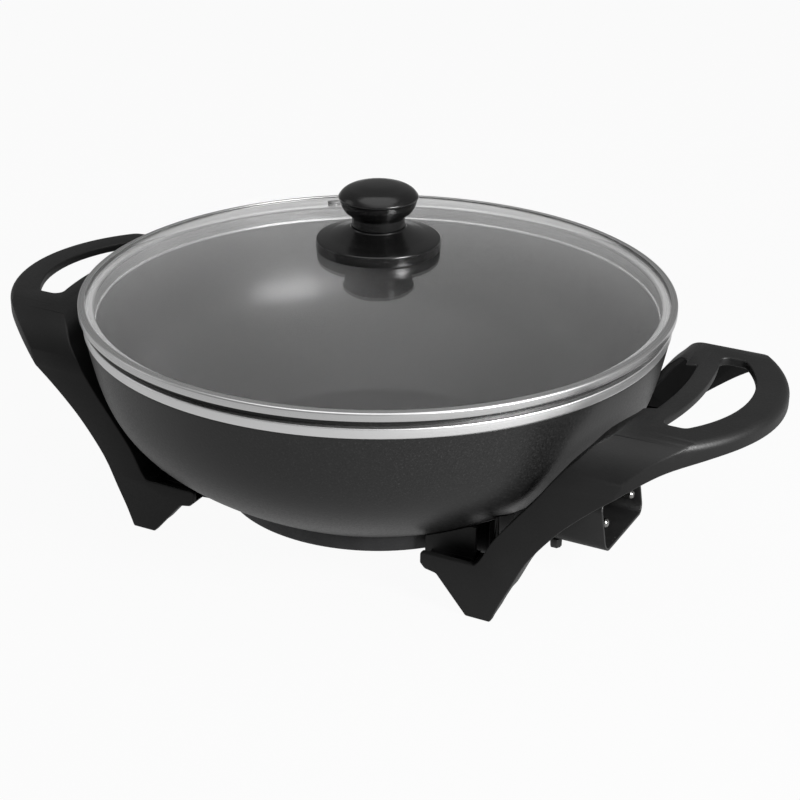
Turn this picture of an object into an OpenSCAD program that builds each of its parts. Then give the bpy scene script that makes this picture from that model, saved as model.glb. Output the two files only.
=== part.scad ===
// Electric wok: cast bowl on two moulded handle stands, with a loose domed glass lid.
// Origin on the table under the bowl axis, +X towards the control socket, -Y front, +Z up.

/* [Bowl] */
// Outer radius of the bowl wall just under the rim band
bowl_r = 172.2; // [150:0.2:200]
// Radius where the wall leaves the flat underside
floor_r = 96; // [80:1:110]
// Height of the flat underside above the table
floor_z = 31; // [26:0.5:40]
// Height of the rim edge above the table
rim_z = 140; // [125:1:165]
// Wall thickness of the casting
bowl_wall = 3; // [2.2:0.1:4.5]
// Thickness of the cooking floor
bowl_floor = 3.5; // [2.5:0.1:6]
// How far the wall runs out low down before it turns up
bowl_belly = 65; // [45:1:75]

/* [Rim band] */
// Height of the bright band round the rim
band_h = 6; // [4:0.5:9]
// Thickness of the band
band_t = 2.6; // [1.2:0.1:3.4]
// Drop from the rim edge to the top of the band
band_drop = 4.4; // [3:0.1:8]

/* [Heating base] */
// Outer radius of the cast ring under the bowl
ring_r = 94.3; // [80:0.1:100]
// Inner radius of the cast ring
ring_in_r = 60; // [45:1:66]
// Depth of the cast ring below the bowl
ring_h = 10.5; // [8:0.5:13]
// Radius of the heating tube loop
element_r = 76; // [70:1:80]
// Diameter of the heating tube
element_d = 8; // [6:0.5:9]
// Angle left open between the two ends of the loop
element_gap = 44; // [30:2:80]

/* [Control socket] */
// Distance from the bowl axis to the face of the cast terminal block
block_x = 136; // [128:1:142]
// Width of the terminal block
block_w = 56; // [50:1:60]
// Distance between the two terminal pins
pin_gap = 40; // [34:1:40]
// Height of the pins above the table
pin_z = 38; // [35:0.5:40]
// Diameter of each pin
pin_d = 5.5; // [4:0.5:6]
// Distance from the bowl axis to the pin ends
pin_end_x = 158.8; // [148:0.2:160]
// Diameter of the ceramic bush round each pin
bush_d = 8.5; // [7.5:0.5:9]
// How far each bush stands out of the block
bush_out = 4; // [2:0.5:8]
// Bore of the sensor sleeve
sensor_bore = 7; // [5:0.5:8]
// Wall of the sensor sleeve
sensor_wall = 1.2; // [0.8:0.1:1.6]

/* [Socket guard] */
// Distance from the bowl axis to the mouth of the guard
guard_x = 162; // [160:1:176]
// Height of the guard floor above the table
guard_z = 23.5; // [21:0.5:25]
// Sheet thickness of the guard
guard_t = 1.6; // [1:0.1:2]
// Height of the guard
guard_h = 31; // [27:1:34]
// Inner corner radius of the guard
guard_corner = 5; // [3:0.5:7]
// Backward lean of the guard's mouth, in degrees
guard_lean = 8; // [0:1:15]
// Diameter of the screws that hold the guard
guard_screw_d = 4; // [3.5:0.1:4.5]
// Depth of their thread in the terminal block
guard_grip = 7; // [5:0.5:8]

/* [Handle loop] */
// Reach of the loop from the bowl axis
reach = 246.7; // [238:0.1:262]
// Height of the loop's top face
loop_z = 122.5; // [115:0.5:127]
// Depth of the loop's skirt
loop_t = 10; // [8:0.5:13]
// Rounding of the loop's upper edge
edge_r = 5; // [3:0.5:7]
// Width of the outer grip bar
grip_w = 18.7; // [16:0.1:22]
// Width of the inner bar of the loop
inner_bar_w = 12; // [11:0.5:16]
// Thickness of the inner bar's front wall
bar_skin = 4; // [3:0.5:6]
// Gap from the bowl wall to the crest of the legs
bowl_gap = 15.3; // [11:0.1:19]
// Radius of the outer bow of the loop
bow_r = 97.2; // [94:0.1:108]
// Length of the finger hole
finger_w = 101; // [76:1:106]
// Thickness of the loop's top plate over its hollow underside
plate_t = 5; // [4:0.5:7]
// Thickness of the loop's outer skirt
skirt_t = 3.5; // [2.5:0.5:5]
// Radius of the rounded shoulder above each leg
shoulder_r = 32; // [24:1:36]

/* [Handle legs] */
// Width over the two legs at the foot
stand_w = 184; // [172:1:196]
// Depth of each leg from its face to its back edge
leg_depth = 17; // [14:0.5:22]
// Radius of the arch's shoulders between the two legs
arch_r = 42; // [34:1:50]
// Distance from the bowl axis to the inner edge of the foot
foot_x = 104; // [100:1:110]
// Length of the foot on the table
foot_l = 15; // [12:0.5:20]
// Wall thickness of the hollow leg
leg_wall = 3.5; // [2.5:0.25:4.5]
// Thickness of the foot plate that stands on the table
foot_face = 5; // [4:0.5:7]
// Height of the lower step in the foot's flanks
step_low = 8; // [5:0.5:10]
// Height of the upper step in the foot's flanks
step_high = 20; // [14:0.5:21]
// Height where the hollow of the leg ends
hollow_top = 70; // [56:1:80]
// Thickness of the ribs inside the leg
rib_t = 3; // [2:0.5:4]
// Height of the ledge beside the foot
ledge_z = 33; // [30:0.5:35]
// Distance from the bowl axis to the end of the ledge
ledge_x = 75; // [72:1:80]

/* [Handle mounting] */
// Distance of the mounting posts from the bowl axis along X
post_x = 86; // [84:0.5:89]
// Distance of the mounting posts from the bowl axis along Y
post_y = 65; // [63:0.5:67]
// Diameter of the mounting posts
post_d = 12; // [10:0.5:13]
// Wall of the boss round each post
boss_wall = 4; // [3:0.5:4.5]
// Length of the boss along the bowl
boss_l = 32; // [26:1:34]
// Thickness of the boss floor that the screw clamps
boss_floor = 5; // [4:0.5:6]
// Diameter of the mounting screws
screw_d = 5; // [4:0.5:6]
// Length of the screw thread inside the post
screw_grip = 8; // [6:0.5:9]

/* [Lid] */
// How far the steel lid ring stands out past the bowl wall
lid_overhang = 2.8; // [1.6:0.1:4]
// Height of the lid ring
lid_ring_h = 4.8; // [4.4:0.1:7]
// Rise of the glass dome from the ring to the crown
dome_rise = 27.5; // [20:0.5:40]
// Thickness of the glass
glass_t = 3; // [2.5:0.1:3.4]
// Depth of the locating skirt below the ring
skirt_h = 10; // [6:0.5:13]
// Sheet thickness of the ring
ring_t = 0.7; // [0.5:0.1:0.8]
// Distance from the lid axis to the steam vent
vent_x = 117; // [80:1:140]
// Direction of the steam vent, in degrees
vent_angle = 132; // [100:1:170]
// Diameter of the steam hole
vent_bore = 3; // [2:0.5:4]

/* [Knob] */
// Radius of the knob head
knob_r = 23.1; // [18:0.1:28]
// Radius of the knob neck
neck_r = 15.4; // [12:0.1:17]
// Height of the knob from the skirt to the crown
knob_h = 26.6; // [22:0.2:34]
// Radius of the knob skirt
flange_r = 36.3; // [28:0.1:44]
// Height of the skirt's straight edge
flange_edge = 6.2; // [4:0.1:8]
// Rise of the skirt from its edge to the neck
flange_rise = 6.5; // [3:0.5:9]
// Diameter of the knob screw
knob_screw_d = 5; // [4:0.5:6]

/* [Hidden] */
$fn = 96;
// Clearance between pieces of one body
fit = 0.2;
// Clearance between the lid and the bowl
lift_fit = 0.3;
// Clearance that is cut past a face
over = 1;
// Number of steps along each curve
curve_n = 20;

// Bowl section
lip_r = bowl_r - band_t;
band_top = rim_z - band_drop;
band_z = band_top - band_h;
belly_z = floor_z + 0.37 * (band_z - floor_z);
high_z = floor_z + 0.54 * (band_z - floor_z);
bowl_turn = 9;

function bezier(a, b, c, d, t) =
    pow(1 - t, 3) * a + 3 * t * pow(1 - t, 2) * b + 3 * t * t * (1 - t) * c + pow(t, 3) * d;
function wall_curve(inset, lift, rim_inset) = [for (i = [0:curve_n]) bezier(
    [floor_r - inset * 0.3, floor_z + lift],
    [floor_r + bowl_belly - inset, belly_z + lift * 0.5],
    [bowl_r - bowl_turn - inset, high_z + lift * 0.3],
    [bowl_r - rim_inset, band_z],
    i / curve_n)];
function knot(p0, p1, p2, p3, t) =
    0.5 * (2 * p1 + (p2 - p0) * t + (2 * p0 - 5 * p1 + 4 * p2 - p3) * t * t
    + (3 * p1 - p0 - 3 * p2 + p3) * t * t * t);
function smooth(p, n) = concat(
    [for (i = [0:len(p) - 2], j = [0:n - 1]) knot(
        p[max(i - 1, 0)], p[i], p[i + 1], p[min(i + 2, len(p) - 1)], j / n)],
    [p[len(p) - 1]]);
function backwards(p) = [for (i = [len(p) - 1:-1:0]) p[i]];

// Everything outside the bowl, from the axis out
module bowl_outline(gap = 0) {
    polygon(concat(
        [[0, floor_z - gap]],
        [for (p = wall_curve(0, 0, 0)) p + [gap, -gap]],
        [[bowl_r + gap, rim_z + over], [0, rim_z + over]]));
}

// The room inside the bowl
module bowl_room() {
    mouth_r = lip_r - bowl_wall;
    rotate_extrude()
        polygon(concat(
            [[0, floor_z + bowl_floor]],
            wall_curve(bowl_wall, bowl_floor, bowl_wall + band_t),
            [[mouth_r, band_z], [mouth_r, rim_z + over], [0, rim_z + over]]));
}

module four_posts() {
    for (x = [-post_x, post_x], y = [-post_y, post_y])
        translate([x, y, 0])
            children();
}

module wok_bowl() {
    color("#2f2f31")
        difference() {
            union() {
                rotate_extrude()
                    polygon(concat(
                        [[0, floor_z]],
                        wall_curve(0, 0, 0),
                        [[lip_r, band_z], [lip_r, rim_z], [0, rim_z]]));
                four_posts()
                    translate([0, 0, post_foot_z])
                        cylinder(d = post_d, h = post_top_z - post_foot_z);
            }
            bowl_room();
            four_posts()
                translate([0, 0, post_foot_z - over])
                    cylinder(d = screw_d + 0.1, h = screw_grip + 1 + over);
        }
}

module rim_band() {
    color("#d8d8d8")
        rotate_extrude()
            polygon([
                [lip_r + 0.05, band_z + 0.05],
                [bowl_r, band_z + 0.05],
                [bowl_r + 0.4, band_z + 0.8],
                [bowl_r + 0.4, band_top - 0.8],
                [bowl_r - 0.2, band_top],
                [lip_r + 0.05, band_top]]);
}

// Heating base: a cast ring with the terminal block grown out of it
base_z = floor_z - ring_h;
block_z = guard_z + guard_t;
post_r = norm([post_x, post_y]);
post_foot_z = block_z + 2;
post_top_z = floor_z + bowl_floor + 0.75 * (post_r - floor_r) + 4;
groove_r = element_d / 2 + 0.1;

module heating_base() {
    color("#6a6a6c")
        difference() {
            union() {
                rotate_extrude()
                    polygon([
                        [ring_in_r, floor_z],
                        [ring_in_r - 1, floor_z - ring_h + 4],
                        [ring_in_r + 2, base_z],
                        [ring_r - 1, base_z],
                        [ring_r, base_z + 1],
                        [ring_r + 0.7, floor_z]]);
                difference() {
                    rotate([90, 0, 90])
                        linear_extrude(block_x)
                            guard_section(-fit);
                    cylinder(r = ring_r - 8, h = rim_z);
                }
            }
            rotate_extrude()
                difference() {
                    bowl_outline(fit);
                    translate([0, floor_z - 2])
                        square([floor_r - fit, 2]);
                }
            translate([0, 0, base_z])
                rotate_extrude()
                    translate([element_r, 0])
                        circle(r = groove_r, $fn = 48);
            for (s = [-1, 1])
                translate([bush_x - fit, s * pin_gap / 2, pin_z])
                    rotate([0, 90, 0])
                        cylinder(d = bush_d + 0.1, h = block_x - bush_x + over);
            translate([sensor_x - fit, 0, sensor_z])
                rotate([0, 90, 0])
                    cylinder(d = sensor_d + 0.1, h = block_x - sensor_x + over);
            for (s = [-1, 1])
                translate([guard_screw_x, s * guard_screw_y, block_z - over])
                    cylinder(d = guard_screw_d + 0.1, h = guard_grip + 2 + over);
            four_posts()
                translate([0, 0, base_z - over])
                    cylinder(d = post_d + 2 * fit, h = ring_h + 2 * over);
        }
}

// Tubular loop lying half in the groove, its ends turned up into the casting
module heating_element() {
    color("#8d8a86")
        rotate([0, 0, element_gap / 2])
            translate([0, 0, base_z])
                rotate_extrude(angle = 360 - element_gap)
                    translate([element_r, 0])
                        circle(d = element_d, $fn = 48);
}

// Control socket
bush_l = 10;
bush_x = block_x + bush_out - bush_l;
root_d = pin_d + 0.6;
sensor_d = sensor_bore + 2 * sensor_wall;
sensor_z = pin_z - 2;
sensor_out = 3;
sensor_l = 26;
sensor_x = block_x + sensor_out - sensor_l;
guard_screw_x = block_x - 1.75 * guard_screw_d;
guard_screw_y = block_w / 2 - 1.125 * guard_screw_d;

module terminal_pin() {
    start_x = bush_x + 1;
    color("#c9c9c9")
        translate([start_x, 0, pin_z])
            rotate([0, 90, 0]) {
                cylinder(d = root_d, h = bush_l - 1);
                cylinder(d = pin_d, h = pin_end_x - start_x - 1.2);
                translate([0, 0, pin_end_x - start_x - 1.2])
                    cylinder(d1 = pin_d, d2 = pin_d - 2, h = 1.2);
            }
}

module terminal_pin_front() {
    translate([0, -pin_gap / 2, 0])
        terminal_pin();
}

module terminal_pin_rear() {
    translate([0, pin_gap / 2, 0])
        terminal_pin();
}

module terminal_bush() {
    color("#e6e1d6")
        translate([bush_x, 0, pin_z])
            rotate([0, 90, 0])
                difference() {
                    cylinder(d = bush_d, h = bush_l);
                    translate([0, 0, 0.9])
                        cylinder(d = root_d + 0.1, h = bush_l);
                }
}

module terminal_bush_front() {
    translate([0, -pin_gap / 2, 0])
        terminal_bush();
}

module terminal_bush_rear() {
    translate([0, pin_gap / 2, 0])
        terminal_bush();
}

module sensor_sleeve() {
    color("#9a9a9a")
        translate([sensor_x, 0, sensor_z])
            rotate([0, 90, 0])
                difference() {
                    cylinder(d = sensor_d, h = sensor_l);
                    translate([0, 0, 2])
                        cylinder(d = sensor_bore, h = sensor_l);
                }
}

module guard_section(grow) {
    w = block_w / 2 + fit + grow;
    r = guard_corner + grow;
    z0 = guard_z + guard_t - grow;
    z1 = guard_z + guard_h - guard_t + grow;
    translate([-w + r, z0])
        square([2 * (w - r), z1 - z0]);
    translate([-w, z0 + r])
        square([2 * w, z1 - z0 - 2 * r]);
    for (y = [-w + r, w - r], z = [z0 + r, z1 - r])
        translate([y, z])
            circle(r = r);
}

// Folded sheet guard round the pins, open towards the plug
module socket_guard() {
    back_x = block_x - 0.8 * guard_h;
    color("#2a2a2c")
        difference() {
            translate([back_x, 0, 0])
                rotate([90, 0, 90])
                    linear_extrude(guard_x - back_x)
                        difference() {
                            guard_section(guard_t);
                            guard_section(0);
                        }
            translate([guard_x, 0, guard_z])
                rotate([0, -guard_lean, 0])
                    translate([0, -block_w, -over * 8])
                        cube([guard_h, 2 * block_w, 2 * guard_h]);
            rotate_extrude()
                bowl_outline(fit);
            for (s = [-1, 1])
                translate([guard_screw_x, s * guard_screw_y, guard_z - over])
                    cylinder(d = guard_screw_d + 0.2, h = guard_t + 2 * over);
        }
}

module guard_screws() {
    head_d = 1.85 * guard_screw_d;
    head_h = 1.4 * guard_screw_d;
    slot_w = 0.3 * guard_screw_d;
    color("#b5b5b5")
        for (s = [-1, 1])
            translate([guard_screw_x, s * guard_screw_y, guard_z]) {
                cylinder(d = guard_screw_d, h = guard_t + guard_grip);
                translate([0, 0, -head_h])
                    difference() {
                        cylinder(d = head_d, h = head_h, $fn = 6);
                        translate([-head_d, -slot_w / 2, -over])
                            cube([2 * head_d, slot_w, slot_w + over]);
                    }
            }
}

// Handle stand: one moulding with a grip loop and two legs
crest_r = bowl_r + bowl_gap;
bar_r = crest_r + 2.5;
hole_r = bar_r + inner_bar_w;
loop_w = reach - crest_r;
half_w = stand_w / 2;
bow_x = reach - bow_r;
foot_out = foot_x + foot_l;
loop_under = loop_z - loop_t;
back_y = half_w - leg_depth;
run_x = crest_r - foot_out;
skin_shift = 1.35 * leg_wall;
end_lean = 2;

// Inner edge of the leg, from the ledge up to the crest
function inner_edge() = smooth([
    [foot_x + 4, ledge_z],
    [foot_x + 8, ledge_z + 5],
    [foot_out + 0.30 * run_x - 19, 0.475 * loop_under],
    [foot_out + 0.58 * run_x - 18, 0.705 * loop_under],
    [foot_out + 0.775 * run_x - 18, loop_under - 14.5],
    [foot_out + 0.90 * run_x - 18, loop_under - 5],
    [crest_r - 17.5, loop_z - 7],
    [crest_r - 8, loop_z - 2],
    [crest_r + 2, loop_z]], 4);
// Outer edge of the leg, from the foot up to the underside of the loop
function outer_edge() = smooth([
    [foot_out, 0],
    [foot_out + 5, 12],
    [foot_out + 11, 24],
    [foot_out + 20, 0.373 * loop_under],
    [foot_out + 0.50 * run_x, 0.54 * loop_under],
    [foot_out + 0.70 * run_x, 0.665 * loop_under],
    [crest_r - 5, 0.785 * loop_under],
    [crest_r + 0.21 * loop_w, loop_under - 11],
    [crest_r + 0.42 * loop_w, loop_under - 4.5],
    [crest_r + 0.68 * loop_w, loop_under - 1],
    [crest_r + 0.88 * loop_w, loop_under]], 4);

// Side view of the whole moulding
module side_view() {
    polygon(concat(
        [[foot_x, 0]],
        outer_edge(),
        [[reach + over, loop_under], [reach + over, loop_z]],
        backwards(inner_edge()),
        [[ledge_x + 1, ledge_z], [ledge_x, ledge_z - 1]],
        [[ledge_x, ledge_z - 7], [ledge_x + 3, ledge_z - 10], [ledge_x + 10, ledge_z - 11.3]]));
}

// Plan view: a bow that runs out into the legs' faces
module plan_view(inset = 0) {
    wide = half_w + 2;
    translate([ledge_x - 30, -wide])
        square([bow_x + bow_r / 3 - ledge_x + 30, 2 * wide]);
    translate([bow_x, 0])
        circle(r = bow_r - inset, $fn = 180);
}

// What is cut off to round the bow's upper edge
module edge_rounding() {
    turn = 75;
    translate([bow_x, 0, 0])
        rotate([0, 0, -turn])
            rotate_extrude(angle = 2 * turn)
                translate([bow_r - edge_r, loop_z - edge_r])
                    difference() {
                        square(edge_r + over);
                        circle(r = edge_r, $fn = 48);
                    }
}

// End view: upright leg faces with rounded shoulders
module end_view() {
    top_w = half_w - end_lean;
    intersection() {
        polygon([
            [-half_w, 0],
            [half_w, 0],
            [top_w, loop_z - shoulder_r],
            [top_w, loop_z + over],
            [-top_w, loop_z + over],
            [-top_w, loop_z - shoulder_r]]);
        union() {
            translate([-half_w, -over])
                square([2 * half_w, loop_z - shoulder_r + over]);
            for (s = [-1, 1])
                translate([s * (top_w - shoulder_r), loop_z - shoulder_r])
                    circle(r = shoulder_r);
            translate([-top_w + shoulder_r, -over])
                square([2 * (top_w - shoulder_r), loop_z + over]);
        }
    }
}

// Finger hole in plan
module finger_outline() {
    r = 5;
    offset(r = r, $fn = 40)
        offset(delta = -r)
            intersection() {
                difference() {
                    translate([bow_x, 0])
                        circle(r = bow_r - grip_w);
                    circle(r = hole_r);
                }
                translate([crest_r, -finger_w / 2])
                    square([reach - crest_r, finger_w]);
            }
}

// Room between the two legs: an arch with wide shoulders, open upwards at the bowl
module between_legs() {
    mid_y = back_y - arch_r;
    shoulder_z = loop_z - arch_r - bar_skin / 2;
    intersection() {
        cylinder(r = bar_r, h = loop_z + over);
        translate([0, 0, -over])
            rotate([90, 0, 90])
                linear_extrude(bar_r + over) {
                    translate([-back_y, 0])
                        square([2 * back_y, shoulder_z + over]);
                    translate([-mid_y, 0])
                        square([2 * mid_y, loop_z + 2 * over]);
                    for (y = [-mid_y, mid_y])
                        translate([y, shoulder_z + over])
                            circle(r = arch_r);
                }
    }
}

// Room under the leg's upper skin and under the loop, in side view
module under_view(top_z) {
    intersection() {
        polygon(concat(
            [for (p = inner_edge()) p + [skin_shift, 0]],
            [[reach + over, loop_z], [reach + over, -over], [foot_x, -over]]));
        translate([0, -over])
            square([reach + 2 * over, top_z + over]);
    }
}

// Room between the legs up to top_z, inside the loop's skirt
module loop_room(top_z) {
    intersection() {
        translate([0, back_y, 0])
            rotate([90, 0, 0])
                linear_extrude(2 * back_y)
                    under_view(top_z);
        linear_extrude(loop_z)
            plan_view(skirt_t);
    }
}

// The loop is hollow from below: a skirt outside, a shallow rim along the inner bar
module loop_hollow() {
    loop_room(loop_under);
    difference() {
        loop_room(loop_z - plate_t);
        cylinder(r = bar_r + bar_skin, h = loop_z);
    }
}

// Hollow of one leg in side view, bridged by ribs
module leg_hollow() {
    ribs = [0.3, 0.44];
    low_z = 1.2 * leg_wall;
    difference() {
        intersection() {
            polygon(concat(
                [[foot_x + skin_shift, low_z]],
                [for (p = outer_edge()) p - [skin_shift, 0]],
                [[crest_r, loop_z]],
                backwards([for (p = inner_edge()) p + [skin_shift, 0]])));
            translate([foot_x, low_z])
                square([crest_r - foot_x, hollow_top - low_z]);
        }
        for (k = ribs)
            translate([foot_x, k * loop_z])
                square([crest_r - foot_x, rib_t]);
    }
}

boss_in_y = post_y - post_d / 2 - fit - boss_wall;
boss_out_y = post_y + post_d / 2 + fit + boss_wall;
boss_z = post_foot_z - fit - boss_floor;

module leg_boss() {
    translate([post_x - boss_l / 2, boss_in_y, boss_z])
        cube([boss_l, boss_out_y - boss_in_y, post_top_z - boss_z]);
}

// Webs that tie the boss to the leg
module boss_webs() {
    web_x = foot_x + 12;
    web_h = loop_z / 2 - boss_z;
    translate([post_x, boss_in_y, boss_z])
        cube([web_x - post_x, rib_t, web_h]);
    translate([web_x - rib_t, boss_in_y, boss_z])
        cube([rib_t, back_y + over - boss_in_y, web_h]);
}

// Well behind the ledge, between the leg's face and the boss
module ledge_well() {
    translate([ledge_x - over - 10, boss_out_y, boss_z + boss_floor])
        cube([foot_x + 10 - ledge_x + over, half_w - leg_wall - 1 - boss_out_y, ledge_z]);
}

// Stepped back of the foot: the flanks stop short of the table
module foot_steps() {
    translate([0, -over, -over])
        cube([crest_r, half_w - foot_face + over, step_low + over]);
    translate([0, -over, -over])
        cube([foot_out + 30, half_w - 0.6 * leg_depth + over, step_high + over]);
}

module handle_stand() {
    difference() {
        union() {
            difference() {
                intersection() {
                    translate([0, half_w + over, 0])
                        rotate([90, 0, 0])
                            linear_extrude(2 * (half_w + over))
                                side_view();
                    linear_extrude(loop_z + over)
                        plan_view();
                    rotate([90, 0, 90])
                        linear_extrude(reach + over)
                            end_view();
                }
                between_legs();
                loop_hollow();
                edge_rounding();
                translate([0, 0, loop_under - over])
                    linear_extrude(loop_t + 2 * over)
                        finger_outline();
                for (s = [0, 1])
                    mirror([0, s, 0])
                        translate([0, half_w - leg_wall - 1, 0])
                            rotate([90, 0, 0])
                                linear_extrude(leg_depth)
                                    leg_hollow();
                for (s = [0, 1])
                    mirror([0, s, 0]) {
                        foot_steps();
                        ledge_well();
                    }
            }
            for (s = [0, 1])
                mirror([0, s, 0]) {
                    leg_boss();
                    boss_webs();
                }
        }
        rotate_extrude()
            bowl_outline(fit);
        translate([0, 0, base_z - over])
            cylinder(r = ring_r + 1, h = ring_h + 2 * over);
        for (y = [-post_y, post_y])
            translate([post_x, y, 0]) {
                translate([0, 0, post_foot_z - fit])
                    cylinder(d = post_d + 2 * fit, h = post_top_z);
                cylinder(d = screw_d + 0.6, h = loop_z / 2);
                cylinder(d = 2 * screw_d + 3, h = boss_z + 1.2);
            }
    }
}

module right_handle() {
    color("#1c1c1e")
        handle_stand();
}

module left_handle() {
    color("#1c1c1e")
        mirror([1, 0, 0])
            handle_stand();
}

// Mounting screws with pan heads, driven from below
washer_t = 1;
seat_z = boss_z + 1.2;

module side_screws(s) {
    color("#a8a8a8")
        for (y = [-post_y, post_y])
            translate([s * post_x, y, seat_z - washer_t]) {
                cylinder(d = screw_d, h = post_foot_z - seat_z + washer_t + screw_grip);
                translate([0, 0, -3])
                    difference() {
                        cylinder(d = 1.8 * screw_d, h = 3);
                        for (a = [0, 90])
                            rotate([0, 0, a])
                                translate([-screw_d / 2, -screw_d / 10, -over])
                                    cube([screw_d, screw_d / 5, 0.3 * screw_d]);
                    }
            }
}

module side_washers(s) {
    color("#c4c4c4")
        for (y = [-post_y, post_y])
            translate([s * post_x, y, seat_z - washer_t])
                difference() {
                    cylinder(d = 2 * screw_d + 2, h = washer_t);
                    translate([0, 0, -over])
                        cylinder(d = screw_d + 0.3, h = washer_t + 2 * over);
                }
}

module right_screws() {
    side_screws(1);
}

module left_screws() {
    side_screws(-1);
}

module right_washers() {
    side_washers(1);
}

module left_washers() {
    side_washers(-1);
}

// Lid
lid_r = bowl_r + lid_overhang;
lid_z = rim_z + lift_fit;
lid_top = lid_z + lid_ring_h;
skirt_r = lip_r - bowl_wall - 0.6;
glass_r = lid_r - 2.6;
dome_r = (glass_r * glass_r + dome_rise * dome_rise) / (2 * dome_rise);
edge_z = lid_top - 0.8;
crown_z = edge_z + dome_rise;
dome_z = crown_z - dome_r;

function dome_height(r, radius) = dome_z + sqrt(radius * radius - r * r);

module on_dome(angle, dist) {
    tilt = asin(dist / dome_r);
    rotate([0, 0, angle])
        translate([0, 0, dome_z])
            rotate([0, tilt, 0])
                translate([0, 0, dome_r])
                    children();
}

module lid_glass() {
    color([0.75, 0.8, 0.8, 0.35])
        difference() {
            translate([0, 0, dome_z])
                intersection() {
                    difference() {
                        sphere(r = dome_r, $fn = 200);
                        sphere(r = dome_r - glass_t, $fn = 200);
                    }
                    translate([0, 0, dome_r - dome_rise - 12])
                        cylinder(r = glass_r, h = dome_rise + 20);
                }
            translate([0, 0, crown_z - 4 * glass_t])
                cylinder(d = knob_screw_d + 3, h = 8 * glass_t);
            on_dome(vent_angle, vent_x)
                translate([0, 0, -10])
                    cylinder(d = vent_bore + 4, h = 20);
        }
}

// Rolled steel ring that holds the glass edge and locates the lid in the bowl
module lid_ring() {
    lip_in = lid_r - 4;
    color("#cfcfcf")
        rotate_extrude()
            polygon([
                [lid_r, lid_z + 0.6],
                [lid_r, lid_top - 1],
                [lid_r - 0.9, lid_top],
                [lip_in, lid_top + 0.5],
                [lip_in, lid_top - 0.1],
                [glass_r + 0.9, lid_top - ring_t],
                [glass_r + 0.9, lid_z + ring_t],
                [skirt_r, lid_z + ring_t],
                [skirt_r - ring_t, lid_z + ring_t - 0.8],
                [skirt_r - ring_t, lid_z - skirt_h],
                [skirt_r, lid_z - skirt_h],
                [skirt_r, lid_z],
                [lid_r - 0.6, lid_z]]);
}

// Soft band round the glass edge inside the ring
module lid_gasket() {
    color("#3a3a3a")
        rotate_extrude()
            translate([glass_r + 0.1, lid_z + ring_t + 0.05])
                square([0.75, lid_ring_h - 2 * ring_t - 0.2]);
}

module vent_grommet() {
    color("#4a4a4a")
        on_dome(vent_angle, vent_x)
            difference() {
                union() {
                    translate([0, 0, 0.1])
                        cylinder(d = vent_bore + 5.4, h = 1.3);
                    translate([0, 0, -glass_t - 1])
                        cylinder(d = vent_bore + 3.8, h = glass_t + 1.5);
                    translate([0, 0, -glass_t - 1.4])
                        cylinder(d = vent_bore + 5.4, h = 1.2);
                }
                translate([0, 0, -10])
                    cylinder(d = vent_bore, h = 20);
            }
}

// Knob
flange_z = dome_height(flange_r, dome_r) + 0.3;
flange_top = flange_z + flange_edge;
neck_z = flange_top + flange_rise;
knob_top = neck_z + knob_h;
washer_r = 9;
screw_end = neck_z + 14;

module knob_skirt() {
    color("#161618")
        difference() {
            rotate_extrude()
                polygon(concat(
                    [[0, neck_z - 4], [flange_r - 6, flange_top - 4.5], [flange_r - 2.2, flange_z]],
                    [[flange_r, flange_z]],
                    [[flange_r, flange_top - 0.8], [flange_r - 0.8, flange_top]],
                    [[flange_r - 8, flange_top + 0.30 * flange_rise]],
                    [[flange_r - 14, flange_top + 0.62 * flange_rise]],
                    [[neck_r + 1, neck_z - 0.1], [neck_r + 0.6, neck_z + 0.7], [neck_r - 0.6, neck_z + 0.7]],
                    [[neck_r - 0.6, neck_z - 0.6], [0, neck_z - 0.6]]));
            translate([0, 0, flange_z - over])
                cylinder(d = knob_screw_d + 0.4, h = neck_z);
        }
    color("#161618")
        difference() {
            translate([0, 0, crown_z + 1.3])
                cylinder(r = washer_r, h = neck_z - 3.2 - crown_z - 1.3);
            translate([0, 0, crown_z])
                cylinder(d = knob_screw_d + 0.4, h = neck_z);
        }
}

// Seal between the knob skirt and the glass
module knob_gasket() {
    color("#3a3a3a")
        translate([0, 0, crown_z + 0.1])
            difference() {
                cylinder(r = washer_r, h = 1.15);
                translate([0, 0, -over])
                    cylinder(d = knob_screw_d + 0.4, h = 4);
            }
}

module lid_knob() {
    z0 = neck_z + 0.05 - 0.6;
    color("#0e0e10")
        difference() {
            rotate_extrude()
                polygon(concat(
                    [[0, z0], [neck_r - 0.8, z0], [neck_r - 0.8, neck_z + 0.9], [neck_r, neck_z + 1]],
                    smooth([
                        [neck_r, neck_z + 0.18 * knob_h],
                        [neck_r + 0.4, neck_z + 0.26 * knob_h],
                        [neck_r + 2.6, neck_z + 0.37 * knob_h],
                        [knob_r - 2.3, neck_z + 0.51 * knob_h],
                        [knob_r - 0.6, neck_z + 0.64 * knob_h]], 4),
                    smooth([
                        [knob_r - 0.1, neck_z + 0.66 * knob_h],
                        [knob_r, neck_z + 0.71 * knob_h],
                        [knob_r - 2.0, neck_z + 0.80 * knob_h],
                        [knob_r - 5.2, neck_z + 0.88 * knob_h],
                        [knob_r - 13, neck_z + 0.97 * knob_h],
                        [0, knob_top]], 4)));
            translate([0, 0, z0 - over])
                cylinder(r = insert_r + 0.05, h = insert_h + over + 0.5);
        }
}

insert_r = 4.5;
insert_h = 15;

// Threaded insert moulded into the knob
module knob_insert() {
    z0 = neck_z - 0.5;
    color("#b89b50")
        translate([0, 0, z0])
            difference() {
                cylinder(r = insert_r, h = insert_h);
                translate([0, 0, -over])
                    cylinder(d = knob_screw_d + 0.1, h = insert_h - 0.5 + over);
            }
}

under_z = crown_z - glass_t;

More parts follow.
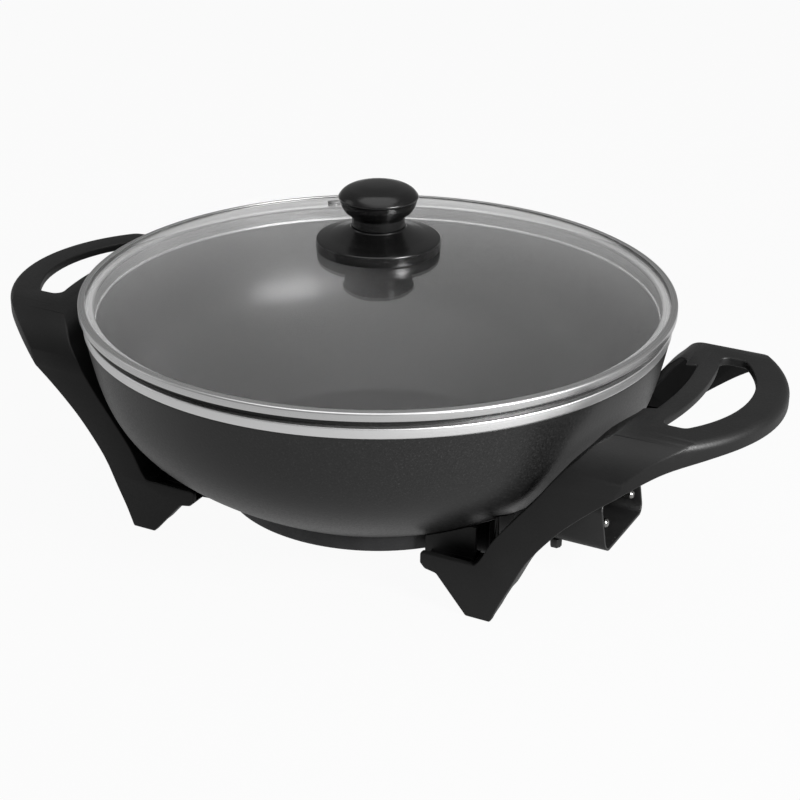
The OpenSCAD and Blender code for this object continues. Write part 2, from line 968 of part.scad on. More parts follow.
// Screw from under the glass, its pan head on a washer
module knob_screw() {
    color("#c9c9c9") {
        translate([0, 0, under_z - 2.3])
            cylinder(d = knob_screw_d, h = screw_end - under_z + 2.3 - 2);
        translate([0, 0, under_z - 5.3])
            difference() {
                cylinder(d = 2 * knob_screw_d, h = 3);
                for (a = [0, 90])
                    rotate([0, 0, a])
                        translate([-3, -0.6, -0.1])
                            cube([6, 1.2, 1.7]);
            }
    }
}

module knob_washer() {
    color("#d0d0d0")
        translate([0, 0, under_z - 2.3])
            difference() {
                cylinder(r = washer_r, h = 2.1);
                translate([0, 0, -over])
                    cylinder(d = knob_screw_d + 0.3, h = 5);
            }
}

wok_bowl();
rim_band();
heating_base();
heating_element();
terminal_pin_front();
terminal_pin_rear();
terminal_bush_front();
terminal_bush_rear();
sensor_sleeve();
socket_guard();
guard_screws();
right_handle();
left_handle();
right_screws();
left_screws();
right_washers();
left_washers();
lid_glass();
lid_ring();
lid_gasket();
vent_grommet();
knob_skirt();
knob_gasket();
lid_knob();
knob_insert();
knob_screw();
knob_washer();
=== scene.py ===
"""Electric wok: coated bowl on two moulded handle stands, with a domed glass lid."""

import math

import bpy
from mathutils import Matrix, Vector


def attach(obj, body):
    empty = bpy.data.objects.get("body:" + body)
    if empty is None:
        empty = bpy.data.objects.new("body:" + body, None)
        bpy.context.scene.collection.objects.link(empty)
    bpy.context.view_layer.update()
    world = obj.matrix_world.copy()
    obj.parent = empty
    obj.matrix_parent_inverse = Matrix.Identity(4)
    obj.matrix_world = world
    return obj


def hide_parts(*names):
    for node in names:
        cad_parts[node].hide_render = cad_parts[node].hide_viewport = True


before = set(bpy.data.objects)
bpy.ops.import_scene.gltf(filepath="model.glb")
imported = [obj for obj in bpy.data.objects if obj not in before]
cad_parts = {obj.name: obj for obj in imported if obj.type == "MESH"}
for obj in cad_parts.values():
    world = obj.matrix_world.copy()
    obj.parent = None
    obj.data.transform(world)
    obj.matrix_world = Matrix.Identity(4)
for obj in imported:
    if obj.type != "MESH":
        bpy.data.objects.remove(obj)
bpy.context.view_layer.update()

MM = 0.001

# Sizes of the wok in millimetres, the same as the solids have
FLOOR_R, FLOOR_Z = 96.0, 31.0
RIM_R, RIM_Z = 172.2, 140.0
WALL, FLOOR_T = 3.0, 3.5
BAND_T, BAND_H, BAND_DROP = 2.6, 6.0, 4.4
LIP_R = RIM_R - BAND_T
BAND_TOP = RIM_Z - BAND_DROP
BAND_Z = BAND_TOP - BAND_H
BAND_FIT, BAND_BULGE = 0.05, 0.4
# The wall's curve leans on two points: how far out or in, and at which share of the height
BELLY, BELLY_LEVEL = 65.0, 0.37
SHOULDER, SHOULDER_LEVEL = 9.0, 0.54
POST_X, POST_Y, POST_D = 86.0, 65.0, 12.0
POST_FOOT_Z, POST_TOP_Z = 27.1, 47.4

LID_R, LID_RING_H, LID_GAP = RIM_R + 2.8, 4.8, 0.3
LID_Z = RIM_Z + LID_GAP
LID_TOP = LID_Z + LID_RING_H
SKIRT_R = LIP_R - WALL - 0.6
SKIRT_H, RING_T = 10.0, 0.7
RING_FLAP, RING_ROOM, BEAD = 4.0, 0.9, 0.8
GLASS_R = LID_R - 2.6
GLASS_T, DOME_RISE = 3.0, 27.5
DOME_R = (GLASS_R**2 + DOME_RISE**2) / (2 * DOME_RISE)
CROWN_Z = LID_TOP - 0.8 + DOME_RISE
DOME_Z = CROWN_Z - DOME_R
KNOB_HOLE_R = 4.0
VENT_X, VENT_ANGLE, VENT_HOLE_R = 117.0, 132.0, 3.5

# Plan of the handle loop; the trims are how far the short straight lines stray from its arcs
BOW_X, BOW_R, GRIP_W, HOLE_R = 149.5, 97.2, 18.7, 202.0
FINGER_W, HOLE_CORNER, LOOP_Z = 101.0, 5.0, 122.5
HOLE_TRIM, BAR_TRIM = 0.05, 0.65
CUT_BELOW, CUT_ABOVE = 20.0, 5.0
HANDLE_EDGE = 0.9

KNOB_R, NECK_R, KNOB_H = 23.1, 15.4, 26.6
FLANGE_R, FLANGE_EDGE, FLANGE_RISE = 36.3, 6.2, 6.5
KNOB_SUNK, SCREW_ROOM_R, HOLLOW_R = 0.55, 2.7, 9.0

# How fine the turned pieces are, and how near two vertices are when they become one
LARGE_TURN, KNOB_TURN, CORNER_STEPS, WALL_STEPS, GLASS_STEPS = 256, 144, 6, 48, 56
WELD, COPY_WELD = 0.002, 0.004
# Edges sharper than this many degrees are rounded, in so many steps
SHARP_ANGLE, EDGE_SEGMENTS = 32.0, 3


def dome_height(r, radius=DOME_R):
    """Height of the lid's dome at a radius, on its outer face or on a smaller sphere in it."""
    return DOME_Z + math.sqrt(radius**2 - r**2)


FLANGE_Z = dome_height(FLANGE_R) + 0.3
FLANGE_TOP = FLANGE_Z + FLANGE_EDGE
NECK_Z = FLANGE_TOP + FLANGE_RISE


# ---- Colours and surface patterns -------------------------------------------------


def linear(hex_colour):
    """An sRGB hex colour as Blender's linear numbers."""
    parts = [int(hex_colour[i : i + 2], 16) / 255 for i in (1, 3, 5)]
    return [p / 12.92 if p <= 0.04045 else ((p + 0.055) / 1.055) ** 2.4 for p in parts] + [1.0]


def add_node(tree, kind, settings=None, **links):
    """Adds one shader node; a link is an output socket, any other value is set on the input."""
    made = tree.nodes.new(kind)
    for key, value in (settings or {}).items():
        setattr(made, key, value)
    for key, value in links.items():
        name = key.replace("_", " ")
        socket = made.inputs[int(key[1:])] if key[1:].isdigit() else made.inputs[name]
        if isinstance(value, bpy.types.NodeSocket):
            tree.links.new(value, socket)
        else:
            socket.default_value = value
    return made


def empty_material(name):
    made = bpy.data.materials.new(name)
    made.use_nodes = True
    made.node_tree.nodes.clear()
    return made, made.node_tree


def finish_material(tree, shader):
    out = add_node(tree, "ShaderNodeOutputMaterial")
    tree.links.new(shader, out.inputs["Surface"])


def size_scale(mm):
    """Texture scale at which one feature of a pattern is about this many millimetres."""
    return 1.0 / (mm * MM)


def ramp(tree, factor, stops):
    made = add_node(tree, "ShaderNodeValToRGB", Fac=factor)
    band = made.color_ramp
    while len(band.elements) < len(stops):
        band.elements.new(0.5)
    for element, (place, colour) in zip(band.elements, stops):
        element.position = place
        element.color = colour
    return made.outputs["Color"]


def grey(value):
    return (value, value, value, 1.0)


def satin_moulding(name, dark, light, rough_low, rough_high, grain_mm, bump, specular):
    """Black moulded plastic: even colour, a fine pebble grain that breaks up the sheen."""
    made, tree = empty_material(name)
    place = add_node(tree, "ShaderNodeTexCoord").outputs["Object"]
    pebble = add_node(
        tree,
        "ShaderNodeTexNoise",
        Vector=place,
        Scale=size_scale(grain_mm),
        Detail=3.0,
        Roughness=0.6,
    )
    # The filler lies unevenly in the resin, in clouds of about 45 mm
    cloud = add_node(tree, "ShaderNodeTexNoise", Vector=place, Scale=size_scale(45.0), Detail=2.0)
    colour = ramp(tree, cloud.outputs["Fac"], [(0.35, linear(dark)), (0.65, linear(light))])
    sheen = ramp(tree, pebble.outputs["Fac"], [(0.3, grey(rough_low)), (0.7, grey(rough_high))])
    relief = add_node(
        tree, "ShaderNodeBump", Height=pebble.outputs["Fac"], Strength=bump, Distance=0.08 * MM
    )
    shader = add_node(
        tree,
        "ShaderNodeBsdfPrincipled",
        Base_Color=colour,
        Roughness=sheen,
        Normal=relief.outputs["Normal"],
        IOR=1.5,
        Specular_IOR_Level=specular,
    )
    finish_material(tree, shader.outputs["BSDF"])
    return made


def sprayed_coating(name):
    """Non-stick coating sprayed on cast aluminium: charcoal, with a pale fleck and orange peel."""
    made, tree = empty_material(name)
    place = add_node(tree, "ShaderNodeTexCoord").outputs["Object"]
    # Real flecks are about 0.5 mm apart; they are drawn 1.1 mm apart, or they wouldn't show
    fleck = add_node(
        tree, "ShaderNodeTexNoise", Vector=place, Scale=size_scale(1.1), Detail=3.0, Roughness=0.7
    )
    peel = add_node(tree, "ShaderNodeTexNoise", Vector=place, Scale=size_scale(1.6), Detail=2.0)
    colour = ramp(
        tree,
        fleck.outputs["Fac"],
        [(0.38, linear("#111111")), (0.58, linear("#191919")), (0.75, linear("#2e2e2e"))],
    )
    rough = ramp(tree, fleck.outputs["Fac"], [(0.4, grey(0.34)), (0.68, grey(0.47))])
    relief = add_node(
        tree, "ShaderNodeBump", Height=peel.outputs["Fac"], Strength=0.5, Distance=0.12 * MM
    )
    shader = add_node(
        tree,
        "ShaderNodeBsdfPrincipled",
        Base_Color=colour,
        Roughness=rough,
        Normal=relief.outputs["Normal"],
        IOR=1.5,
        Specular_IOR_Level=0.38,
    )
    finish_material(tree, shader.outputs["BSDF"])
    return made


def turned_metal(name, colour, rough, line_mm, bump):
    """Lathe-polished metal: fine lines run round the part and draw the light out along them."""
    made, tree = empty_material(name)
    place = add_node(tree, "ShaderNodeTexCoord").outputs["Object"]
    parts = add_node(tree, "ShaderNodeSeparateXYZ", Vector=place)
    x, y = parts.outputs["X"], parts.outputs["Y"]
    x2 = add_node(tree, "ShaderNodeMath", {"operation": "MULTIPLY"}, i0=x, i1=x)
    r2 = add_node(
        tree, "ShaderNodeMath", {"operation": "MULTIPLY_ADD"}, i0=y, i1=y, i2=x2.outputs["Value"]
    )
    radius = add_node(tree, "ShaderNodeMath", {"operation": "SQRT"}, i0=r2.outputs["Value"])
    rings = add_node(tree, "ShaderNodeCombineXYZ", X=radius.outputs["Value"], Z=parts.outputs["Z"])
    lines = add_node(
        tree,
        "ShaderNodeTexNoise",
        Vector=rings.outputs["Vector"],
        Scale=size_scale(line_mm),
        Detail=3.0,
    )
    sheen = ramp(tree, lines.outputs["Fac"], [(0.3, grey(rough * 0.7)), (0.7, grey(rough * 1.4))])
    relief = add_node(
        tree, "ShaderNodeBump", Height=lines.outputs["Fac"], Strength=bump, Distance=0.03 * MM
    )
    shader = add_node(
        tree,
        "ShaderNodeBsdfPrincipled",
        Base_Color=linear(colour),
        Metallic=1.0,
        Roughness=sheen,
        Normal=relief.outputs["Normal"],
    )
    finish_material(tree, shader.outputs["BSDF"])
    return made


def as_formed(name, dark, light, rough, metallic, grain_mm, bump):
    """Metal, ceramic or rubber as it came from the die, mould or bath: a mottle and a fine grain."""
    made, tree = empty_material(name)
    place = add_node(tree, "ShaderNodeTexCoord").outputs["Object"]
    sand = add_node(
        tree, "ShaderNodeTexNoise", Vector=place, Scale=size_scale(grain_mm), Detail=4.0
    )
    # The mottle of a cast or plated skin is about 14 mm across
    cloud = add_node(tree, "ShaderNodeTexNoise", Vector=place, Scale=size_scale(14.0), Detail=3.0)
    colour = ramp(tree, cloud.outputs["Fac"], [(0.3, linear(dark)), (0.7, linear(light))])
    sheen = ramp(tree, sand.outputs["Fac"], [(0.3, grey(rough * 0.8)), (0.7, grey(rough * 1.25))])
    relief = add_node(
        tree, "ShaderNodeBump", Height=sand.outputs["Fac"], Strength=bump, Distance=0.1 * MM
    )
    shader = add_node(
        tree,
        "ShaderNodeBsdfPrincipled",
        Base_Color=colour,
        Metallic=metallic,
        Roughness=sheen,
        Normal=relief.outputs["Normal"],
    )
    finish_material(tree, shader.outputs["BSDF"])
    return made


def tempered_glass(name):
    """Clear tempered glass: mirror smooth, hardly any tint, and the lamps shine through it."""
    made, tree = empty_material(name)
    place = add_node(tree, "ShaderNodeTexCoord").outputs["Object"]
    # Bending over a mould leaves slow waves of about 60 mm
    wave = add_node(tree, "ShaderNodeTexNoise", Vector=place, Scale=size_scale(60.0), Detail=1.0)
    relief = add_node(
        tree, "ShaderNodeBump", Height=wave.outputs["Fac"], Strength=0.15, Distance=0.2 * MM
    )
    glass = add_node(
        tree,
        "ShaderNodeBsdfPrincipled",
        Base_Color=linear("#f3f3f3"),
        Roughness=0.0,
        IOR=1.52,
        Transmission_Weight=1.0,
        Normal=relief.outputs["Normal"],
    )
    through = add_node(tree, "ShaderNodeBsdfTransparent", Color=linear("#eaeaea"))
    path = add_node(tree, "ShaderNodeLightPath")
    both = add_node(
        tree,
        "ShaderNodeMixShader",
        i0=path.outputs["Is Shadow Ray"],
        i1=glass.outputs["BSDF"],
        i2=through.outputs["BSDF"],
    )
    finish_material(tree, both.outputs["Shader"])
    return made


# Phenolic moulded in a grained tool: almost black, with a broad soft sheen
handle_black = satin_moulding(
    "phenolic_moulding_satin_black", "#0c0c0c", "#121212", 0.42, 0.55, 1.0, 0.6, 0.3
)
# The same phenolic from a polished tool: deep black, with small soft highlights
knob_black = satin_moulding(
    "phenolic_moulding_polished_black", "#070707", "#0a0a0a", 0.18, 0.27, 1.4, 0.06, 0.4
)
bowl_coating = sprayed_coating("sprayed_non_stick_coating")
# Stainless strip brushed along its length: an even, bright grey
band_steel = turned_metal("stainless_band_brushed", "#e2e2e2", 0.36, 0.35, 0.25)
# Stainless rolled and lightly polished: clearer light and dark bands than the strip has
lid_steel = turned_metal("stainless_ring_polished", "#cccccc", 0.30, 0.5, 0.12)
# Die-cast aluminium under a thin dark coat: dull and a little sandy
cast_base = as_formed("die_cast_aluminium_dark", "#2c2c2d", "#363637", 0.5, 0.35, 0.8, 0.5)
# Drawn steel tube, tinted by heat: a warm grey
tube_steel = as_formed("drawn_steel_tube", "#77726c", "#8f8b86", 0.38, 1.0, 0.5, 0.2)
# Nickel plate on the contact pins: bright and smooth
pin_metal = as_formed("nickel_plated_pin", "#8b8a88", "#999896", 0.22, 1.0, 0.4, 0.1)
# Glazed steatite, a white ceramic: glossy and slightly creamy
bush_white = as_formed("glazed_steatite", "#e0dbcf", "#ebe7dd", 0.22, 0.0, 0.6, 0.1)
# Sheet steel under baked enamel: black, with a faint orange peel
guard_black = as_formed("enamelled_sheet_steel", "#0c0c0c", "#121212", 0.42, 0.0, 1.1, 0.3)
# Screws blackened in a hot oxide bath: dark, but still a metal
black_steel = as_formed("black_oxide_steel", "#3c3c3c", "#4a4a4a", 0.4, 1.0, 0.6, 0.2)
# Screws and washers with a zinc plate: pale, slightly dull metal
screw_steel = as_formed("zinc_plated_steel", "#a3a39f", "#b9b9b6", 0.3, 1.0, 0.4, 0.2)
# Moulded silicone rubber: matt, in dark grey for the seals and paler for the eyelet
seal_rubber = as_formed("grey_silicone_rubber", "#343434", "#3d3d3d", 0.6, 0.0, 0.7, 0.3)
vent_rubber = as_formed("pale_silicone_rubber", "#5c5c5c", "#686868", 0.5, 0.0, 0.7, 0.3)
# Brass as it comes off the lathe: yellow, with a clear shine
insert_brass = as_formed("turned_brass", "#b0914c", "#c2a55e", 0.28, 1.0, 0.4, 0.2)
lid_glass_clear = tempered_glass("tempered_glass_clear")


# ---- Modelling helpers ------------------------------------------------------------


def nothing_selected():
    """Leaves edit mode and clears the selection, so the next operator acts on its own piece."""
    if bpy.context.object and bpy.context.object.mode != "OBJECT":
        bpy.ops.object.mode_set(mode="OBJECT")
    bpy.ops.object.select_all(action="DESELECT")


def only(piece):
    """Makes this the one piece that operators act on."""
    nothing_selected()
    piece.select_set(True)
    bpy.context.view_layer.objects.active = piece


def bezier(corners, t):
    """A point on the curve from the first of four points to the last, drawn by the other two."""
    u = 1 - t
    shares = (u**3, 3 * t * u**2, 3 * t * t * u, t**3)
    return tuple(sum(share * corner[i] for share, corner in zip(shares, corners)) for i in (0, 1))


def wall_curve(inset, lift, rim_inset):
    """The bowl wall from the flat floor up to the band, as a curve of radius and height."""
    belly_z = FLOOR_Z + BELLY_LEVEL * (BAND_Z - FLOOR_Z)
    shoulder_z = FLOOR_Z + SHOULDER_LEVEL * (BAND_Z - FLOOR_Z)
    corners = (
        (FLOOR_R - 0.3 * inset, FLOOR_Z + lift),
        (FLOOR_R + BELLY - inset, belly_z + 0.5 * lift),
        (RIM_R - SHOULDER - inset, shoulder_z + 0.3 * lift),
        (RIM_R - rim_inset, BAND_Z),
    )
    return [bezier(corners, i / WALL_STEPS) for i in range(WALL_STEPS + 1)]


def soft_corners(profile, radii, closed=False):
    """Rounds the numbered corners of a profile, each with its own radius in millimetres."""
    made = []
    last = len(profile) - 1
    for i, point in enumerate(profile):
        radius = radii.get(i, 0)
        if not radius or (not closed and i in (0, last)):
            made.append(tuple(point))
            continue
        here = Vector(point)
        before = Vector(profile[i - 1]) - here
        after = Vector(profile[(i + 1) % len(profile)]) - here
        half = before.angle(after) / 2
        reach = min(radius / math.tan(half), 0.49 * before.length, 0.49 * after.length)
        start, end = here + before.normalized() * reach, here + after.normalized() * reach
        for k in range(CORNER_STEPS + 1):
            t = k / CORNER_STEPS
            made.append(tuple((1 - t) ** 2 * start + 2 * t * (1 - t) * here + t * t * end))
    return made


def traced(name, points):
    """A line drawn by pushing one vertex from point to point in millimetres, left in edit mode."""
    nothing_selected()
    bpy.ops.mesh.primitive_plane_add(size=0.01, location=(0, 0, 0))
    piece = bpy.context.object
    piece.name = piece.data.name = name
    bpy.ops.object.mode_set(mode="EDIT")
    bpy.ops.mesh.select_all(action="SELECT")
    bpy.ops.mesh.merge(type="CENTER")
    here = Vector(points[0])
    bpy.ops.transform.translate(value=here * MM)
    for point in points[1:]:
        step = (Vector(point) - here) * MM
        bpy.ops.mesh.extrude_region_move(TRANSFORM_OT_translate={"value": step})
        here = Vector(point)
    bpy.ops.mesh.select_all(action="SELECT")
    bpy.ops.mesh.remove_doubles(threshold=WELD * MM)
    return piece


def turned(name, profile, steps, smooth=35.0, closed=False):
    """A piece turned round the upright axis from a profile of radius and height in millimetres."""
    points = [(r, 0, z) for r, z in profile]
    piece = traced(name, points + points[:1] if closed else points)
    bpy.ops.mesh.spin(steps=steps, angle=2 * math.pi, center=(0, 0, 0), axis=(0, 0, 1))
    bpy.ops.mesh.select_all(action="SELECT")
    bpy.ops.mesh.remove_doubles(threshold=WELD * MM)
    bpy.ops.mesh.normals_make_consistent(inside=False)
    bpy.ops.object.mode_set(mode="OBJECT")
    bpy.ops.object.shade_smooth_by_angle(angle=math.radians(smooth))
    return piece


def block_of(name, outline, low, high):
    """An upright block over a plan outline, from one height to another."""
    points = [(x, y, low) for x, y in outline]
    piece = traced(name, points + points[:1])
    bpy.ops.mesh.edge_face_add()
    bpy.ops.mesh.extrude_region_move(TRANSFORM_OT_translate={"value": (0, 0, (high - low) * MM)})
    bpy.ops.mesh.select_all(action="SELECT")
    bpy.ops.mesh.normals_make_consistent(inside=False)
    bpy.ops.object.mode_set(mode="OBJECT")
    return piece


def cut_away(piece, cutter):
    """Takes the cutter's shape out of the piece."""
    only(piece)
    cut = piece.modifiers.new("cut", "BOOLEAN")
    cut.operation = "DIFFERENCE"
    cut.object = cutter
    bpy.ops.object.modifier_apply(modifier=cut.name)
    bpy.data.objects.remove(cutter)


def rounded_copy(node, name, edge_mm, cutter=None):
    """A piece with the node's own shape, less the cutter's, and its edges rounded off."""
    piece = bpy.data.objects.new(name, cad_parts[node].data.copy())
    piece.data.name = name
    bpy.context.scene.collection.objects.link(piece)
    only(piece)
    bpy.ops.object.mode_set(mode="EDIT")
    bpy.ops.mesh.select_all(action="SELECT")
    bpy.ops.mesh.remove_doubles(threshold=COPY_WELD * MM)
    bpy.ops.object.mode_set(mode="OBJECT")
    if cutter:
        cut_away(piece, cutter)
    bpy.ops.object.mode_set(mode="EDIT")
    bpy.ops.mesh.select_all(action="SELECT")
    bpy.ops.mesh.dissolve_limited(angle_limit=math.radians(0.6))
    bpy.ops.object.mode_set(mode="OBJECT")
    bevel = piece.modifiers.new("edge", "BEVEL")
    bevel.width = edge_mm * MM
    bevel.segments = EDGE_SEGMENTS
    bevel.limit_method = "ANGLE"
    bevel.angle_limit = math.radians(SHARP_ANGLE)
    bevel.use_clamp_overlap = False
    bpy.ops.object.modifier_apply(modifier=bevel.name)
    bpy.ops.object.shade_smooth_by_angle(angle=math.radians(30))
    return piece


def dress(piece, material, body, node):
    """Gives a finished piece its material and its body, and hides the node that it stands for."""
    piece.data.materials.clear()
    piece.data.materials.append(material)
    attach(piece, body)
    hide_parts(node)


# ---- Bowl and rim -----------------------------------------------------------------


def make_bowl():
    """The casting, with the four posts under it that take the handle screws."""
    outside = wall_curve(0, 0, 0)
    inside = wall_curve(WALL, FLOOR_T, WALL + BAND_T)[::-1]
    mouth_r = LIP_R - WALL
    lip = [(LIP_R, BAND_Z), (LIP_R, RIM_Z), (mouth_r, RIM_Z)]
    step = len(outside)
    profile = soft_corners(
        [(0, FLOOR_Z)] + outside + lip + inside + [(0, FLOOR_Z + FLOOR_T)],
        {1: 1.5, step: 0.3, step + 2: 0.9, step + 3: 0.9},
    )
    bowl = turned("bowl_casting", profile, steps=LARGE_TURN, smooth=40)
    posts = []
    for x in (-POST_X, POST_X):
        for y in (-POST_Y, POST_Y):
            nothing_selected()
            bpy.ops.mesh.primitive_cylinder_add(
                vertices=48,
                radius=POST_D / 2 * MM,
                depth=(POST_TOP_Z - POST_FOOT_Z) * MM,
                location=(x * MM, y * MM, (POST_TOP_Z + POST_FOOT_Z) / 2 * MM),
            )
            posts.append(bpy.context.object)
    # The posts end inside the wall, so the room in the bowl is taken out of them
    room = [(0, FLOOR_Z + FLOOR_T / 2)] + wall_curve(WALL / 2, FLOOR_T / 2, WALL) + [(0, BAND_Z)]
    for post in posts:
        cut_away(post, turned("bowl_room", room, steps=96))
    only(bowl)
    for post in posts:
        post.select_set(True)
    bpy.ops.object.join()
    bpy.ops.object.shade_smooth_by_angle(angle=math.radians(40))
    dress(bowl, bowl_coating, "base", "wok_bowl")


def make_rim_band():
    """The bright strip rolled into the step under the lip; it stands a little proud."""
    back, front, low = LIP_R + BAND_FIT, RIM_R + BAND_BULGE, BAND_Z + BAND_FIT
    profile = soft_corners(
        [(back, low), (front, low), (front, BAND_TOP), (back, BAND_TOP)],
        {1: 0.9, 2: 0.9},
        closed=True,
    )
    band = turned("rim_band_rolled", profile, steps=LARGE_TURN, smooth=40, closed=True)
    dress(band, band_steel, "base", "rim_band")


make_bowl()
make_rim_band()


# ---- Lid ----------------------------------------------------------------------------


def make_lid_ring():
    """Rolled over the edge of the glass, with a beaded skirt that goes into the bowl."""
    flap, groove, back = LID_R - RING_FLAP, GLASS_R + RING_ROOM, SKIRT_R - RING_T
    foot_z = LID_Z - SKIRT_H
    bead_z = foot_z + 1.2
    profile = soft_corners(
        [
            (LID_R, LID_Z),
            (LID_R, LID_TOP),
            (flap, LID_TOP + 0.5),
            (flap, LID_TOP - 0.1),
            (groove, LID_TOP - RING_T),
            (groove, LID_Z + RING_T),
            (SKIRT_R, LID_Z + RING_T),
            (back, LID_Z + RING_T - 0.8),
            (back, bead_z + 0.4),
            (back - BEAD, bead_z),
            (back - BEAD, bead_z - BEAD),
            (back, foot_z),
            (SKIRT_R, foot_z),
            (SKIRT_R, LID_Z),
        ],
        {0: 1.1, 1: 1.3, 2: 0.2, 8: 0.4, 9: 0.5, 10: 0.5, 11: 0.25, 12: 0.25},
        closed=True,
    )
    ring = turned("lid_ring_rolled", profile, steps=LARGE_TURN, smooth=40, closed=True)
    dress(ring, lid_steel, "lid", "lid_ring")


def make_lid_glass():
    """The dome, with its hole for the knob's screw and the one for the vent eyelet."""
    width = GLASS_R - KNOB_HOLE_R
    outward = [KNOB_HOLE_R + width * i / GLASS_STEPS for i in range(GLASS_STEPS + 1)]
    inward = [GLASS_R - width * i / GLASS_STEPS for i in range(GLASS_STEPS + 1)]
    over = [(r, dome_height(r)) for r in outward]
    under = [(r, dome_height(r, DOME_R - GLASS_T)) for r in inward]
    profile = soft_corners(over + under, {len(over) - 1: 0.9, len(over): 0.9}, closed=True)
    glass = turned("lid_dome_glass", profile, steps=LARGE_TURN, smooth=45, closed=True)
    angle = math.radians(VENT_ANGLE)
    place = Vector((VENT_X * math.cos(angle), VENT_X * math.sin(angle), dome_height(VENT_X))) * MM
    tilt = math.asin(VENT_X / DOME_R)
    nothing_selected()
    bpy.ops.mesh.primitive_cylinder_add(
        vertices=48,
        radius=VENT_HOLE_R * MM,
        depth=20 * MM,
        location=place,
        rotation=(0, tilt, angle),
    )
    cut_away(glass, bpy.context.object)
    only(glass)
    bpy.ops.object.shade_smooth_by_angle(angle=math.radians(45))
    dress(glass, lid_glass_clear, "lid", "lid_glass")


def make_knob():
    """The turned head: an upright neck, a round underside and a flat crown."""

    def z(share):
        return NECK_Z + share * KNOB_H

    low = NECK_Z - KNOB_SUNK
    head = [
        (0, low),
        (NECK_R - 0.8, low),
        (NECK_R - 0.8, NECK_Z + 0.9),
        (NECK_R, NECK_Z + 1.0),
        (NECK_R, z(0.24)),
        (NECK_R + 1.0, z(0.29)),
        (NECK_R + 4.2, z(0.37)),
        (KNOB_R - 1.3, z(0.51)),
        (KNOB_R - 0.6, z(0.64)),
        (KNOB_R, z(0.665)),
        (KNOB_R, z(0.70)),
        (KNOB_R - 1.9, z(0.80)),
        (KNOB_R - 5.2, z(0.88)),
        (KNOB_R - 13, z(0.97)),
        (0, z(1.0)),
    ]
    neck_radii = {3: 0.4, 4: 0.8, 5: 1.6, 6: 5.0, 7: 8.0, 8: 2.0}
    crown_radii = {9: 0.5, 10: 1.0, 11: 9.0, 12: 12.0, 13: 30.0}
    profile = soft_corners(head, neck_radii | crown_radii)
    knob = turned("knob_head", profile, steps=KNOB_TURN, smooth=28)
    dress(knob, knob_black, "lid", "lid_knob")


def make_knob_skirt():
    """The flange between knob and glass, hollow over the glass, with a shallow rise to the neck."""
    seat_z = CROWN_Z + 1.3
    outline = [
        (SCREW_ROOM_R, seat_z),
        (HOLLOW_R, seat_z),
        (HOLLOW_R, NECK_Z - 5.6),
        (FLANGE_R - 6, FLANGE_TOP - 4.5),
        (FLANGE_R - 2.2, FLANGE_Z),
        (FLANGE_R, FLANGE_Z),
        (FLANGE_R, FLANGE_TOP),
        (FLANGE_R - 8, FLANGE_TOP + 0.30 * FLANGE_RISE),
        (FLANGE_R - 14, FLANGE_TOP + 0.62 * FLANGE_RISE),
        (NECK_R + 1, NECK_Z),
        (NECK_R + 0.6, NECK_Z + 0.7),
        (NECK_R - 0.6, NECK_Z + 0.7),
        (NECK_R - 0.6, NECK_Z - 0.6),
        (SCREW_ROOM_R, NECK_Z - 0.6),
    ]
    radii = {3: 1.0, 4: 0.4, 5: 0.5, 6: 1.4, 7: 14.0, 8: 14.0, 9: 2.0, 10: 0.3, 11: 0.2}
    profile = soft_corners(outline, radii, closed=True)
    skirt = turned("knob_skirt_moulding", profile, steps=KNOB_TURN, smooth=30, closed=True)
    dress(skirt, knob_black, "lid", "knob_skirt")


make_lid_ring()
make_lid_glass()
make_knob()
make_knob_skirt()


# ---- Handle stands, socket and small pieces ---------------------------------------------


def arc(centre, radius, start, end, steps):
    """Points on an arc; the angles are in radians."""
    turns = [start + (end - start) * i / steps for i in range(steps + 1)]
    return [(centre[0] + radius * math.cos(t), centre[1] + radius * math.sin(t)) for t in turns]


def finger_hole(side):
    """The hole's outline in plan: an arc along each bar and straight ends with rounded corners."""
    outer, inner = BOW_R - GRIP_W + HOLE_TRIM, HOLE_R - BAR_TRIM
    corner_y = FINGER_W / 2 + HOLE_TRIM - HOLE_CORNER
    outer_x = BOW_X + math.sqrt((outer - HOLE_CORNER) ** 2 - corner_y**2)
    inner_x = math.sqrt((inner + HOLE_CORNER) ** 2 - corner_y**2)
    a = math.atan2(corner_y, outer_x - BOW_X)
    b = math.atan2(corner_y, inner_x)
    rear = (
        arc((BOW_X, 0), outer, 0, a, 40)
        + arc((outer_x, corner_y), HOLE_CORNER, a, math.pi / 2, 10)
        + arc((inner_x, corner_y), HOLE_CORNER, math.pi / 2, math.pi + b, 14)
        + arc((0, 0), inner, b, 0, 40)
    )
    return [(side * x, y) for x, y in rear + [(x, -y) for x, y in rear[-2:0:-1]]]


def make_handle(node, side):
    """The frame draws the finger hole with short straight lines; true arcs even them out."""
    low, high = LOOP_Z - CUT_BELOW, LOOP_Z + CUT_ABOVE
    cutter = block_of("finger_hole_cutter", finger_hole(side), low, high)
    piece = rounded_copy(node, node + "_moulding", HANDLE_EDGE, cutter)
    dress(piece, handle_black, "base", node)


make_handle("right_handle", 1)
make_handle("left_handle", -1)

